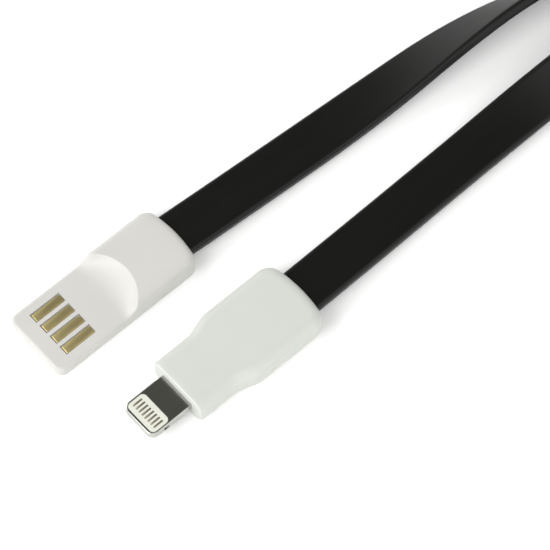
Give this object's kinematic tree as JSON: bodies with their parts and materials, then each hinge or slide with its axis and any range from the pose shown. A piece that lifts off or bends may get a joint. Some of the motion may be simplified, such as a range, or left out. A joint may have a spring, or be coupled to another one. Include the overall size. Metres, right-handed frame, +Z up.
{
  "type": "charging cable",
  "caption": "Flat black charging cable with a slim white charger plug on one end and a reversible phone plug on the other, its slack wound into a tied hank.",
  "frame": {"origin": "on the table, under the middle of the box round the two plugs", "axes": "+X from the plugs' tips towards the cable, +Z up from the table, +Y from the phone plug towards the charger plug"},
  "size_m": [0.2082, 0.0706, 0.0092],
  "materials": {
    "white_gloss": "smooth satin gloss, slightly warm white",
    "gold_contact": "thin gold plating, softly reflective",
    "pale_gold_contact": "pale gold plating",
    "tab_metal": "fine satin stainless steel",
    "white_insert": "matt moulded insert",
    "board_green": "solder resist on glass laminate",
    "solder": "bright solder",
    "inner_mould": "low-pressure inner moulding",
    "steel": "pressed sheet steel",
    "copper": "tinned copper strands",
    "wire_red": "wire insulation",
    "wire_white": "wire insulation",
    "wire_green": "wire insulation",
    "wire_black": "wire insulation",
    "chip_black": "moulded chip package",
    "capacitor": "small chip capacitors with tinned ends",
    "black_jacket": "smooth satin flexible jacket",
    "black_strap": "soft matt strap"
  },
  "bodies": {
    "root": {"charger_housing": "white_gloss", "charger_contacts": "gold_contact", "charger_board": "board_green", "charger_solder_joints": "solder", "charger_inner_mould": "inner_mould", "charger_cable_clamp": "steel", "charger_wire_cores": "copper", "charger_wire_red": "wire_red", "charger_wire_white": "wire_white", "charger_wire_green": "wire_green", "charger_wire_black": "wire_black", "phone_housing": "white_gloss", "tab_frame": "tab_metal", "tab_insulator": "white_insert", "tab_contacts_top": "pale_gold_contact", "tab_contacts_bottom": "pale_gold_contact", "phone_board": "board_green", "charge_chip": "chip_black", "board_capacitors": "capacitor", "board_resistors": "chip_black", "phone_solder_joints": "solder", "phone_shield_upper": "steel", "phone_shield_lower": "steel", "phone_inner_mould": "inner_mould", "phone_cable_clamp": "steel", "phone_wire_cores": "copper", "phone_wire_red": "wire_red", "phone_wire_white": "wire_white", "phone_wire_green": "wire_green", "phone_wire_black": "wire_black", "cable_lead_charger": "black_jacket", "cable_lead_phone": "black_jacket", "cable_hank": "black_jacket", "cable_tie": "black_strap"}
  },
  "joints": []
}
